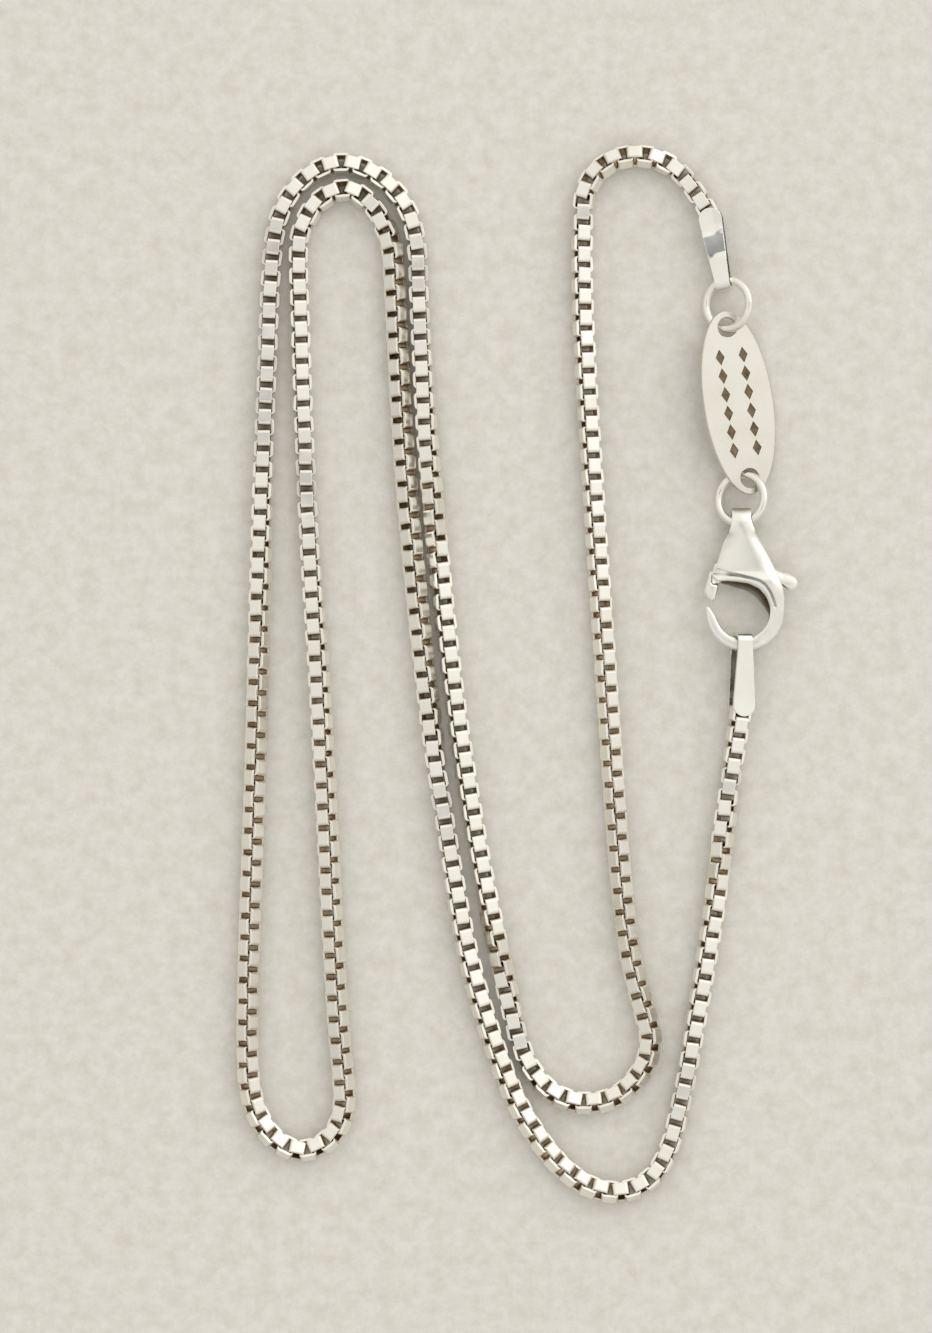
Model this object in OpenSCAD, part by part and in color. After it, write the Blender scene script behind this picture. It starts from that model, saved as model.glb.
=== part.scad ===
// Box chain necklace lying on a table in long narrow loops, closed by a lobster clasp.
// Millimetres. X runs right, Y runs up the table, Z is up and the table is at Z = 0.

/* [Chain] */
// Width of the chain over two opposite faces
chain_w = 1.45; // [1.2:0.05:1.6]
// Width of the flat strip that each link is bent from
strip_w = 0.84; // [0.6:0.02:0.96]

/* [End caps] */
// Length of an end cap from its fold to its round end
cap_length = 5.95; // [5:0.05:7]
// Thickness of the folded strip
cap_strip_t = 0.22; // [0.15:0.01:0.35]
// Width of the strip at the fold
cap_fold_w = 1.05; // [0.8:0.05:1.3]
// Width of the two round leaves that hold the chain
cap_leaf_w = 1.66; // [1.4:0.02:2]
// Inner radius of the two bends of the fold
cap_bend_r = 0.35; // [0.25:0.01:0.4]
// Play of the clasp's hook inside the fold
cap_fold_play = 0.54; // [0.5:0.02:0.6]
// Clearance between a leaf and the last link
cap_link_clearance = 0.03; // [0.01:0.01:0.06]
// Gap between the round end of a cap and the chain's solid part
cap_chain_gap = 0.12; // [0.1:0.01:0.3]

/* [Jump rings] */
// Outer diameter of a jump ring
ring_od = 4.12; // [3.9:0.02:4.4]
// Diameter of the ring wire
ring_wire_d = 0.62; // [0.5:0.01:0.7]
// Angle that the cut in a ring leaves open
ring_cut_angle = 2; // [1:0.5:5]

/* [Tag] */
// Length of the oval tag
tag_length = 13.2; // [12:0.1:14.5]
// Width of the oval tag
tag_width = 5.35; // [4.6:0.05:6]
// Thickness of the oval tag
tag_t = 0.35; // [0.25:0.01:0.45]
// Play of the ring wire in a hole of the tag
tag_hole_play = 0.8; // [0.7:0.02:1]
// Distance from the end of the tag to the edge of its hole
tag_hole_rim = 0.47; // [0.35:0.01:0.7]
// Length of one engraved lozenge
lozenge_length = 1.15; // [0.6:0.05:1.2]
// Width of one engraved lozenge
lozenge_width = 0.7; // [0.3:0.05:0.8]
// Depth of the engraving
engraving_depth = 0.06; // [0.03:0.01:0.1]

/* [Clasp] */
// Thickness of the clasp body
clasp_t = 2.4; // [2.2:0.05:2.8]
// Width of the eye at the top of the clasp
eye_w = 1.4; // [1.2:0.05:1.6]
// Play of the ring wire in the eye
eye_play = 1.28; // [1.2:0.02:1.4]
// Outer diameter of the hook
hook_od = 5.54; // [5.3:0.02:5.8]
// Diameter of the opening inside the hook
hook_opening_d = 3.78; // [3.6:0.02:3.9]
// Thickness of the hook where the end cap holds it
hook_bar_t = 0.84; // [0.7:0.02:0.86]
// Thickness of the lip round the top of the opening
lip_t = 1.7; // [1.5:0.05:1.8]
// Thickness of the gate's arm
gate_t = 0.7; // [0.5:0.05:0.8]
// Thickness of the gate's nose outside the body
gate_nose_t = 1.2; // [1:0.05:1.4]
// Clearance of the gate in its slot
gate_clearance = 0.05; // [0.03:0.01:0.1]
// Diameter of the hinge pin
pin_d = 0.6; // [0.5:0.02:0.7]
// Radial clearance of the gate on the pin
pin_clearance = 0.03; // [0.02:0.01:0.05]
// Depth that the pin reaches into each cheek
pin_seat = 0.45; // [0.3:0.05:0.5]

/* [Hidden] */
$fn = 64;

// Colours
silver = [0.88, 0.87, 0.83];
tag_silver = [0.9, 0.88, 0.82];
pin_silver = [0.7, 0.7, 0.68];

// Route of the chain on the table, chosen by hand from the cap at the tag to the cap at the clasp.
// Columns: x, y, roll of the chain about its own line in degrees, positive to the right on the way.
ROUTE = [
  [12.3, 34.9, -12], [11.2, 36.0, 6], [9.8, 36.7, 20], [8.4, 36.9, 28], [6.9, 36.6, 30],
  [5.65, 35.7, 32], [4.85, 34.3, 20], [4.65, 32.3, -8], [4.65, 26.6, -17], [5.3, 14.9, -19],
  [6.15, 2.4, -32], [7.9, -19.1, -46], [9.0, -23.9, -55], [9.45, -25.6, -56], [9.3, -27.3, -56],
  [8.45, -28.9, -55], [7.1, -30.1, -56], [5.4, -30.6, -58], [3.6, -30.4, -62], [2.0, -29.5, -66],
  [0.85, -28.0, -74], [0.1, -26.1, -88], [-0.5, -23.6, -104], [-2.1, -16.2, -160],
  [-3.8, -6.5, -164], [-5.15, 3.8, -163], [-6.35, 15.9, -112], [-7.0, 26.6, -92],
  [-7.15, 30.0, -89], [-7.45, 31.75, -84], [-8.1, 33.4, -78], [-9.15, 34.75, -76],
  [-10.65, 35.85, -76], [-12.45, 36.35, -75], [-14.25, 35.85, -76], [-15.8, 34.6, -80],
  [-16.85, 32.85, -86], [-17.35, 30.9, -90], [-17.95, 19.5, -91], [-18.65, -5.4, -46], [-19.25, -26.1, -44],
  [-19.05, -29.6, -38], [-18.45, -31.6, -34], [-17.4, -33.1, -29], [-15.7, -34.0, -27],
  [-14.0, -33.6, -26], [-12.9, -32.5, -28], [-12.4, -30.8, -33], [-12.45, -28.6, -37],
  [-12.8, -24.7, -37], [-14.05, -1.9, -24], [-15.0, 12.4, 0], [-15.55, 25.2, 11], [-15.6, 30.6, 3],
  [-15.3, 31.85, -8], [-14.7, 33.0, -14], [-13.95, 33.8, -17], [-13.0, 34.35, -17],
  [-12.0, 34.45, -17], [-10.95, 33.9, -10], [-10.0, 32.9, 8], [-9.35, 31.65, 24],
  [-8.95, 30.3, 35], [-8.7, 26.6, 39], [-8.05, 15.2, 39], [-6.85, 2.4, 36], [-5.2, -10.4, -2], [-3.25, -21.1, -19],
  [-0.55, -29.4, -28], [1.2, -32.7, -36], [3.3, -35.3, -40], [5.5, -36.7, -38], [7.7, -36.9, -26],
  [9.6, -35.9, -16], [10.75, -34.0, -12], [11.55, -31.1, -6], [12.25, -27.5, 4],
  [14.0, -16.9, 24], [14.7, -11.2, 62], [15.55, -5.1, 104],
];
// Row of the chain where its two halves meet, counted from the cap at the tag
split_row = 41;

// Rolls and headings of the caps, the tilts of the rings and the lie of the tag, in degrees
cap_a_heading = 11;
cap_a_roll = 10;
cap_b_heading = 180;
cap_b_roll = 16;
cap_b_pitch = -2;
ring_a_tilt = 32;
ring_b_tilt = 25.5;
ring_b_turn = -17.5;
ring_a_cut_at = 91;
ring_b_cut_at = 150;
tag_turn = 8.6;
tag_roll = 19.6;

// Place on the table that the fittings are set out from
tag_at = [15.69, 19.29];

// Place of the eye, from the middle of the hook's opening
eye_at = [-0.14, 6.2];

// Sizes that follow from the ones above
ring_r = (ring_od - ring_wire_d) / 2;
ring_a_z = ring_wire_d / 2 + ring_r * sin(ring_a_tilt) + 0.05;
ring_b_z = ring_wire_d / 2 + ring_r * sin(ring_b_tilt) + 0.03;
tag_z = (ring_a_z + ring_b_z) / 2 - 0.035;
tag_hole_r = (ring_wire_d + tag_hole_play) / 2;
tag_hole_at = tag_length / 2 - tag_hole_rim - tag_hole_r;
tag_axis = [-sin(tag_turn), cos(tag_turn)];
tag_side = [cos(tag_turn), sin(tag_turn)];
ring_a_at = tag_at + (tag_hole_at + ring_r - 0.12) * tag_axis + 0.33 * tag_side;
ring_b_at = tag_at - (tag_hole_at + ring_r - 0.38) * tag_axis - 0.765 * tag_side;
hook_at = ring_b_at - [-0.13, ring_r + 0.13 + eye_at[1]];

cap_fold_half = (hook_bar_t + cap_fold_play) / 2;
cap_leaf_r = cap_leaf_w / 2;
cap_leaf_at = cap_length - cap_bend_r - cap_strip_t - cap_leaf_r;
cap_leaf_gap = strip_w + 2 * cap_link_clearance;
cap_a_z = (cap_fold_half + cap_strip_t) * cos(cap_a_roll) + cap_fold_w / 2 * sin(cap_a_roll) + 0.02;
cap_a_reach = 0.07 + pow(cap_fold_w / 2, 2) / 2.5;
cap_a_at = [14.68, ring_a_at[1] + ring_r - cap_a_reach, cap_a_z];
cap_a_leaf = cap_a_at + cap_leaf_at * [-sin(cap_a_heading), cos(cap_a_heading), 0];

clasp_z = clasp_t / 2;
cap_b_reach = sqrt(pow(hook_opening_d / 2, 2) - pow(cap_fold_w / 2 + 0.2, 2)) - 0.05;
cap_b_at = [hook_at[0] - 0.1, hook_at[1] - cap_b_reach - cap_bend_r, clasp_z];
cap_b_leaf = cap_b_at + cap_leaf_at * [0, -cos(cap_b_pitch), sin(cap_b_pitch)];
eye_hole_r = (ring_wire_d + eye_play) / 2;
pivot_at = [1.2, 2.65];
hook_shift = 0.07;
slot_h = gate_t + 2 * gate_clearance;
pin_length = slot_h + 2 * pin_seat;
pin_bore_r = pin_d / 2 + pin_clearance;

// Half height of the chain's eight sided section when it lies at a roll
function rest_height(roll) = let (c = abs(cos(roll)), s = abs(sin(roll)))
  max(chain_w * c + strip_w * s, strip_w * c + chain_w * s) / 2;

// Chain's middle line with its two ends, each a little way off the round end of its cap
function off_cap(leaf, row, lean) = let (way = [row[0] - leaf[0], row[1] - leaf[1]])
  [leaf[0], leaf[1]] + way / norm(way) * (cap_leaf_r + cap_chain_gap + lean);
function end_row(leaf, row, lean, roll) = let (at = off_cap(leaf, row, lean)) [at[0], at[1], roll, leaf[2]];
CHAIN = [
  end_row(cap_a_leaf, ROUTE[0], 0.14, -cap_a_roll),
  each [for (row = ROUTE) [row[0], row[1], row[2], rest_height(row[2])]],
  end_row(cap_b_leaf, ROUTE[len(ROUTE) - 1], 0.02, 90 + cap_b_roll),
];
last_row = len(CHAIN) - 1;
function row_heading(i) = let (a = CHAIN[max(i - 1, 0)], b = CHAIN[min(i + 1, last_row)])
  atan2(b[1] - a[1], b[0] - a[0]);

// Eight corners of the section: the outer corners of a plus of two crossed strips
SECTION = let (w = chain_w / 2, s = strip_w / 2)
  [[w, s], [s, w], [-s, w], [-w, s], [-w, -s], [-s, -w], [s, -w], [w, -s]];

// One ring of the swept tube, at a row of the route and square to it
function tube_ring(i) = let (h = row_heading(i), r = CHAIN[i][2], p = [CHAIN[i][0], CHAIN[i][1], CHAIN[i][3]])
  [for (q = SECTION) let (
    side = q[0] * cos(r) + q[1] * sin(r),
    up = q[1] * cos(r) - q[0] * sin(r)
  ) p + [side * sin(h), -side * cos(h), up]];

// Tube along the rows of the route from one to another
module chain_tube(first, last) {
  sides = len(SECTION);
  rings = last - first + 1;
  points = [for (i = [first:last]) each tube_ring(i)];
  walls = [for (i = [0:rings - 2], k = [0:sides - 1]) let (
    a = i * sides + k,
    b = i * sides + (k + 1) % sides,
    c = b + sides,
    d = a + sides
  ) each [[a, b, c], [a, c, d]]];
  ends = [[for (k = [sides - 1:-1:0]) k], [for (k = [0:sides - 1]) (rings - 1) * sides + k]];
  polyhedron(points, concat(walls, ends), convexity = 10);
}

module chain_a() {
  color(silver) chain_tube(0, split_row);
}

module chain_b() {
  color(silver) chain_tube(split_row, last_row);
}

// Solid between two leaves that meet in two bends at the origin, drawn across X
module cap_side(bend_r, half_height, leaf_half_gap) {
  wide = cap_leaf_w + 1;
  bend_at = cap_fold_half - cap_bend_r;
  rotate([90, 0, 90]) {
    for (side = [-1, 1]) translate([0, side * bend_at, 0]) cylinder(h = wide, r = bend_r, center = true);
    linear_extrude(wide, center = true) polygon([
      [-bend_r, -bend_at],
      [-bend_r, bend_at],
      [0, bend_at],
      [0, half_height],
      [cap_leaf_at - cap_leaf_r / 2, leaf_half_gap],
      [cap_leaf_at + cap_leaf_r + 1, leaf_half_gap],
      [cap_leaf_at + cap_leaf_r + 1, -leaf_half_gap],
      [cap_leaf_at - cap_leaf_r / 2, -leaf_half_gap],
      [0, -half_height],
      [0, -bend_at],
    ]);
  }
}

// Plan of the strip: narrow at the fold, widening to a round end
module cap_plan() {
  high = 4 * cap_fold_half + 2;
  translate([0, cap_leaf_at, 0]) cylinder(h = high, r = cap_leaf_r, center = true);
  linear_extrude(high, center = true) polygon([
    [-cap_fold_w / 2, -2],
    [cap_fold_w / 2, -2],
    [cap_fold_w / 2, 0],
    [cap_leaf_r, cap_leaf_at],
    [-cap_leaf_r, cap_leaf_at],
    [-cap_fold_w / 2, 0],
  ]);
}

// Folded strip with its fold at the origin, its leaves towards +Y and their faces towards Z
module cap_strip() {
  intersection() {
    difference() {
      cap_side(cap_bend_r + cap_strip_t, cap_fold_half + cap_strip_t, cap_leaf_gap / 2 + cap_strip_t);
      cap_side(cap_bend_r, cap_fold_half, cap_leaf_gap / 2);
    }
    cap_plan();
  }
}

module end_cap_a() {
  color(silver) translate(cap_a_at) rotate([0, 0, cap_a_heading]) rotate([0, -cap_a_roll, 0]) cap_strip();
}

module end_cap_b() {
  color(silver) translate(cap_b_at) rotate([0, 0, cap_b_heading]) rotate([cap_b_pitch, 0, 0])
    rotate([0, -cap_b_roll, 0]) cap_strip();
}

// Round wire ring, cut at an angle
module jump_ring(cut_at) {
  rotate([0, 0, cut_at]) rotate_extrude(angle = 360 - ring_cut_angle)
    translate([ring_r, 0]) circle(ring_wire_d / 2);
}

module jump_ring_a() {
  color(silver) translate([ring_a_at[0], ring_a_at[1], ring_a_z]) rotate([0, -ring_a_tilt, 0])
    jump_ring(ring_a_cut_at);
}

module jump_ring_b() {
  color(silver) translate([ring_b_at[0], ring_b_at[1], ring_b_z]) rotate([0, 0, ring_b_turn])
    rotate([0, -ring_b_tilt, 0]) jump_ring(ring_b_cut_at);
}

// Oval outline of the tag with its two holes
module tag_shape() {
  steps = 72;
  difference() {
    polygon([for (i = [0:steps - 1]) let (a = i * 360 / steps)
      [tag_width / 2 * cos(a), tag_length / 2 * sin(a)]]);
    for (end = [-1, 1]) translate([0, end * tag_hole_at]) circle(tag_hole_r);
  }
}

// Two rows of engraved lozenges along the tag
module tag_engraving() {
  count = 6;
  pitch = (2 * (tag_hole_at - tag_hole_r) - 1.2 * lozenge_length) / count;
  for (row = [-1, 1], i = [0:count - 1])
    translate([row * tag_width / 6, (i - (count - 1) / 2) * pitch])
      polygon([
        [0, -lozenge_length / 2],
        [lozenge_width / 2, 0],
        [0, lozenge_length / 2],
        [-lozenge_width / 2, 0],
      ]);
}

module tag_plate() {
  color(tag_silver) translate([tag_at[0], tag_at[1], tag_z]) rotate([0, 0, tag_turn])
    rotate([0, tag_roll, 0]) difference() {
      linear_extrude(tag_t, center = true) tag_shape();
      translate([0, 0, tag_t / 2 - engraving_depth]) linear_extrude(1) tag_engraving();
    }
}

// The clasp is drawn round the middle of its opening, with its eye towards +Y.

// Outline of the body and the right side of the hook, without the opening
module clasp_outline() {
  hook_r = hook_od / 2;
  translate([hook_shift, 0]) circle(hook_r);
  polygon([
    [eye_at[0] - eye_w / 2, eye_at[1]],
    [eye_at[0] - eye_w / 2, 6],
    [-1.42, 4.78],
    [-1.92, 3.72],
    [-2.2, 3.05],
    [-2.2, 2.6],
    [-1.5, 1.8],
    [hook_r + hook_shift - 0.9, -0.4],
    [hook_r + hook_shift - 0.01, -0.2],
    [hook_r + hook_shift + 0.05, 0.85],
    [2.77, 1.8],
    [2.42, 2.72],
    [1.93, 3.58],
    [1.34, 4.44],
    [eye_at[0] + eye_w / 2 + 0.08, 5.7],
    [eye_at[0] + eye_w / 2, eye_at[1]],
  ]);
}

// Opening of the hook, with the way in on the left between the gate and the tip
module clasp_opening() {
  opening_r = hook_opening_d / 2;
  circle(opening_r);
  polygon([
    [-hook_od, 0.5],
    [-2.72, 0.44],
    [-2.4, 0.3],
    [-1.95, -0.4],
    [-opening_r * cos(42), -opening_r * sin(42)],
    [0, 0],
    [opening_r * cos(25), opening_r * sin(25)],
    [1.55, 1.14],
    [1.12, 1.64],
    [0.36, 2.02],
    [-0.6, 2.15],
    [-1.72, 2.2],
    [-2.02, 2.3],
    [-hook_od, 2.32],
  ]);
}

// Ledge round the top of the opening, below the step line
module lip_shape() {
  polygon([
    [-3.2, 3.05],
    [-1.9, 3.12],
    [-1.64, 3.05],
    [-1.1, 2.82],
    [-0.5, 2.7],
    [0.57, 2.43],
    [1.1, 2.24],
    [1.5, 1.98],
    [1.89, 1.4],
    [2.1, 0.9],
    [2.28, 0.36],
    [1.8, 0.05],
    [0, -0.3],
    [-3.2, -0.3],
  ]);
}

// Thin round hook with bevelled edges, drawn as a whole ring
module hook_ring() {
  inner = hook_opening_d / 2;
  outer = hook_od / 2;
  half = hook_bar_t / 2;
  bevel = 0.16;
  difference() {
    translate([hook_shift, 0, 0]) rotate_extrude() polygon([
      [0, -half],
      [outer - bevel, -half],
      [outer, bevel - half],
      [outer, half - bevel],
      [outer - bevel, half],
      [0, half],
    ]);
    for (face = [0, 1]) mirror([0, 0, face]) translate([0, 0, half - bevel])
      cylinder(h = 2 * bevel, r1 = inner, r2 = inner + 2 * bevel);
  }
}

// Two sloping faces that thin the body down to the hook at the bottom
module body_wedge() {
  thin = hook_bar_t / 2 - 0.16;
  slope = atan((clasp_t / 2 - thin) / 2.4);
  rotate([0, 0, 60]) intersection_for(face = [0, 1]) mirror([0, 0, face])
    translate([-1.4, 0, thin]) rotate([0, -slope, 0]) translate([-0.6, -10, -10]) cube([20, 20, 10]);
}

// Side bevels on both faces of the body
module body_bevels() {
  tilt = 28;
  for (face = [0, 1], side = [-1, 1]) mirror([0, 0, face])
    translate([-0.1, 5.5, clasp_t / 2]) rotate([0, 0, side * 33]) rotate([0, side * tilt, 0])
      translate([side > 0 ? 0 : -5, -7.5, 0]) cube([5, 14, 3]);
}

// Eye of the clasp: a loop whose hole runs along X
module clasp_eye_block() {
  translate([eye_at[0], eye_at[1], 0]) rotate([0, 90, 0])
    cylinder(h = eye_w, r = clasp_t / 2, center = true);
}

module clasp_eye_hole() {
  flare = 0.15;
  translate([eye_at[0], eye_at[1], 0]) rotate([0, 90, 0]) {
    cylinder(h = 4 * eye_w, r = eye_hole_r, center = true);
    for (end = [0, 1]) mirror([0, 0, end]) translate([0, 0, eye_w / 2 - flare])
      cylinder(h = flare + 0.01, r1 = eye_hole_r, r2 = eye_hole_r + flare);
  }
}

// Slot between the cheeks for the gate's arm and its thumb tab
module gate_slot() {
  linear_extrude(slot_h, center = true) {
    translate(pivot_at) circle(0.85);
    polygon([
      [-4, 1],
      [pivot_at[0], 1],
      [4.5, 1],
      [4.5, 4.3],
      [pivot_at[0], 3.5],
      [-2.1, 3.4],
      [-4, 3.2],
    ]);
  }
}

module clasp_body() {
  color(silver) translate([hook_at[0], hook_at[1], clasp_z]) difference() {
    union() {
      hook_ring();
      difference() {
        intersection() {
          linear_extrude(clasp_t, center = true) clasp_outline();
          body_wedge();
        }
        body_bevels();
        for (face = [0, 1]) mirror([0, 0, face]) translate([0, 0, lip_t / 2])
          linear_extrude(clasp_t) lip_shape();
      }
      clasp_eye_block();
    }
    linear_extrude(2 * clasp_t, center = true) clasp_opening();
    clasp_eye_hole();
    gate_slot();
    translate([pivot_at[0], pivot_at[1], 0])
      cylinder(h = pin_length + 0.04, r = pin_d / 2 + 0.02, center = true);
  }
}

// Outline of the gate: nose, arm and thumb tab
module gate_arm_shape() {
  translate(pivot_at) circle(0.62);
  polygon([
    [-2.4, 2.9],
    [-2.85, 1.4],
    [-2.6, 1],
    [-2.25, 0.72],
    [-1.98, 0.9],
    [-1.75, 2],
    [-1.4, 2.3],
    [pivot_at[0], pivot_at[1] - 0.5],
    [2.4, 2.15],
    [2.95, 1.75],
    [3.45, 1.45],
    [3.85, 1.7],
    [3.95, 2.1],
    [3.7, 2.5],
    [3.15, 2.75],
    [2.4, 2.95],
    [pivot_at[0], pivot_at[1] + 0.55],
    [-1.9, 3.15],
  ]);
}

module gate_nose_shape() {
  intersection() {
    gate_arm_shape();
    union() {
      translate([-4, -1]) square([3, 2.95]);
      translate([-4, 1]) square([1.72, 3]);
    }
  }
}

module clasp_gate() {
  color(silver) translate([hook_at[0], hook_at[1], clasp_z]) difference() {
    union() {
      linear_extrude(gate_t, center = true) gate_arm_shape();
      linear_extrude(gate_nose_t, center = true) gate_nose_shape();
    }
    translate([pivot_at[0], pivot_at[1], 0]) cylinder(h = 3 * gate_t, r = pin_bore_r, center = true);
  }
}

module hinge_pin() {
  color(pin_silver) translate([hook_at[0] + pivot_at[0], hook_at[1] + pivot_at[1], clasp_z])
    cylinder(h = pin_length, r = pin_d / 2, center = true);
}

chain_a();
chain_b();
end_cap_a();
end_cap_b();
jump_ring_a();
jump_ring_b();
tag_plate();
clasp_body();
clasp_gate();
hinge_pin();
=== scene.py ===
import math

import bmesh
import bpy
import numpy as np
from mathutils import Matrix, Vector


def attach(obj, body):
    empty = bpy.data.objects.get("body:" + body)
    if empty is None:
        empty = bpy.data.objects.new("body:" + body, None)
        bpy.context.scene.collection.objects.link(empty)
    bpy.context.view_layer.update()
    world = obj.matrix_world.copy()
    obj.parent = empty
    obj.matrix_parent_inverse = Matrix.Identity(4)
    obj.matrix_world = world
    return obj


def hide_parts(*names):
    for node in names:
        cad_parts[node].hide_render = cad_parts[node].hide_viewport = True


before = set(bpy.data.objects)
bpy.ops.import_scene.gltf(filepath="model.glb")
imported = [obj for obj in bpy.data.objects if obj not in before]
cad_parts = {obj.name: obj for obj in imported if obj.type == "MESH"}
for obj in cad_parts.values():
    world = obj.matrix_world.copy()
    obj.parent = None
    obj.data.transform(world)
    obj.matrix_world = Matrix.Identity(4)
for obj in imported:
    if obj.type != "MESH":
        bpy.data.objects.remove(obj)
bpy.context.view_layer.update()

# Lengths are in millimetres and angles in degrees, unless a comment says otherwise.
MM = 0.001
TO_MM = Matrix.Scale(1000, 4)
TO_METRES = Matrix.Scale(MM, 4)

# Sizes of the chain
CHAIN_W = 1.45
LINK_W = 1.41
STRIP_W = 0.89
STRIP_T = 0.24
PITCH = 0.756
LINK_SPARE = 0.02
LINK_L = PITCH + 2 * STRIP_T + LINK_SPARE

# Route of the chain, as in the source: x, y and roll
# The two ends lie between the leaves of the caps, and have a height as well.
START = [(13.73, 32.66, 1.01, -10), (13.35, 33.4, 0.88, -10)]
ROUTE = [
    (12.3, 34.9, -12), (11.2, 36.0, 6), (9.8, 36.7, 20), (8.4, 36.9, 28), (6.9, 36.6, 30),
    (5.65, 35.7, 32), (4.85, 34.3, 20), (4.65, 32.3, -8), (4.65, 26.6, -17), (5.3, 14.9, -19),
    (6.15, 2.4, -32), (7.9, -19.1, -46), (9.0, -23.9, -55), (9.45, -25.6, -56), (9.3, -27.3, -56),
    (8.45, -28.9, -55), (7.1, -30.1, -56), (5.4, -30.6, -58), (3.6, -30.4, -62), (2.0, -29.5, -66),
    (0.85, -28.0, -74), (0.1, -26.1, -88), (-0.5, -23.6, -104), (-2.1, -16.2, -160),
    (-3.8, -6.5, -164), (-5.15, 3.8, -163), (-6.35, 15.9, -112), (-7.0, 26.6, -92),
    (-7.15, 30.0, -89), (-7.45, 31.75, -84), (-8.1, 33.4, -78), (-9.15, 34.75, -76),
    (-10.65, 35.85, -76), (-12.45, 36.35, -75), (-14.25, 35.85, -76), (-15.8, 34.6, -80),
    (-16.85, 32.85, -86), (-17.35, 30.9, -90), (-17.95, 19.5, -91), (-18.65, -5.4, -46),
    (-19.25, -26.1, -44), (-19.05, -29.6, -38), (-18.45, -31.6, -34), (-17.4, -33.1, -29),
    (-15.7, -34.0, -27), (-14.0, -33.6, -26), (-12.9, -32.5, -28), (-12.4, -30.8, -33),
    (-12.45, -28.6, -37), (-12.8, -24.7, -37), (-14.05, -1.9, -24), (-15.0, 12.4, 0),
    (-15.55, 25.2, 11), (-15.6, 30.6, 3), (-15.3, 31.85, -8), (-14.7, 33.0, -14),
    (-13.95, 33.8, -17), (-13.0, 34.35, -17), (-12.0, 34.45, -17), (-10.95, 33.9, -10),
    (-10.0, 32.9, 8), (-9.35, 31.65, 24), (-8.95, 30.3, 35), (-8.7, 26.6, 39), (-8.05, 15.2, 39),
    (-6.85, 2.4, 36), (-5.2, -10.4, -2), (-3.25, -21.1, -19), (-0.55, -29.4, -28), (1.2, -32.7, -36),
    (3.3, -35.3, -40), (5.5, -36.7, -38), (7.7, -36.9, -26), (9.6, -35.9, -16), (10.75, -34.0, -12),
    (11.55, -31.1, -6), (12.25, -27.5, 4), (14.0, -16.9, 24), (14.7, -11.2, 62), (15.55, -5.1, 104),
]
END = [(15.85, -3.1, 1.02, 106), (15.95, -2.4, 1.04, 106)]

# Row of the route at which the source parts the chain in two
SPLIT_ROW = 40

# Camera, straight above the table

# The middle of what it sees, the height of that view, its lens and its sensor
VIEW_AT = (-3.67, 0.5, 0.9)
VIEW_H = 95.04
LENS = 100.0
SENSOR_H = 24.0

# Nearest and furthest distance that the camera sees, in metres
CLIP = (0.005, 10)


def add_camera():
    cam = bpy.data.cameras.new("camera")
    cam.sensor_fit = "VERTICAL"
    cam.sensor_height = SENSOR_H
    cam.lens = LENS
    cam.clip_start, cam.clip_end = CLIP
    distance = VIEW_H * MM * LENS / SENSOR_H
    x, y, z = VIEW_AT
    obj = bpy.data.objects.new("camera", cam)
    obj.location = (x * MM, y * MM, distance + z * MM)
    bpy.context.collection.objects.link(obj)
    bpy.context.scene.camera = obj


add_camera()


# Helpers for node trees

def new_material(name):
    mat = bpy.data.materials.new(name)
    mat.use_nodes = True
    nodes, links = mat.node_tree.nodes, mat.node_tree.links
    return mat, nodes, links, nodes["Principled BSDF"]


def add_node(nodes, kind, **values):
    """A new node: values that start with in_ are for its inputs, the others for its settings."""
    node = nodes.new(kind)
    for key, value in values.items():
        if key.startswith("in_"):
            node.inputs[key[3:].replace("_", " ")].default_value = value
        else:
            setattr(node, key, value)
    return node


def ramp(nodes, links, factor, stops):
    """Colours along a factor, from stops of a place and a colour."""
    node = nodes.new("ShaderNodeValToRGB")
    elements = node.color_ramp.elements
    elements[0].position, elements[0].color = stops[0][0], (*stops[0][1], 1)
    elements[1].position, elements[1].color = stops[-1][0], (*stops[-1][1], 1)
    for at, colour in stops[1:-1]:
        elements.new(at).color = (*colour, 1)
    links.new(factor, node.inputs["Fac"])
    return node.outputs["Color"]


def noise(nodes, links, place, scale, detail, roughness=0.5):
    node = add_node(nodes, "ShaderNodeTexNoise", in_Scale=scale, in_Detail=detail, in_Roughness=roughness)
    links.new(place, node.inputs["Vector"])
    return node.outputs["Fac"]


def add_bump(nodes, links, shader, height, strength, distance):
    bump = add_node(nodes, "ShaderNodeBump", in_Strength=strength, in_Distance=distance * MM)
    links.new(height, bump.inputs["Height"])
    links.new(bump.outputs["Normal"], shader.inputs["Normal"])


# Materials of the necklace

# Tarnish and painted shade, in the deepest hollows and halfway out of them
BROWN_TARNISH_AND_SHADE = ((0.24, 0.175, 0.115), (0.45, 0.45, 0.47))
CHAIN_TARNISH_AND_SHADE = ((0.44, 0.345, 0.25), (0.66, 0.565, 0.455))
CAST_TARNISH_AND_SHADE = ((0.10, 0.07, 0.04), (0.45, 0.45, 0.47))

# Fineness of the hazy patches, how much they darken the metal, and how far they roughen the edge of the
# tarnish and painted shade
HAZE_SCALE = 420.0
HAZE_SHADE = (0.93, 0.92, 0.89)
HAZE_EDGE = 0.2

# Stretch of the fine scratches, their direction in radians, and their depth
SCRATCH_STRETCH = (1.0, 0.12, 1.0)
SCRATCH_TURN = (0.0, 0.0, 0.5)
SCRATCH_DEPTH = 0.004

# How far the tarnish and painted shade reach out of a hollow on a piece without the attribute for them
HOLLOW = 0.3


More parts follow.
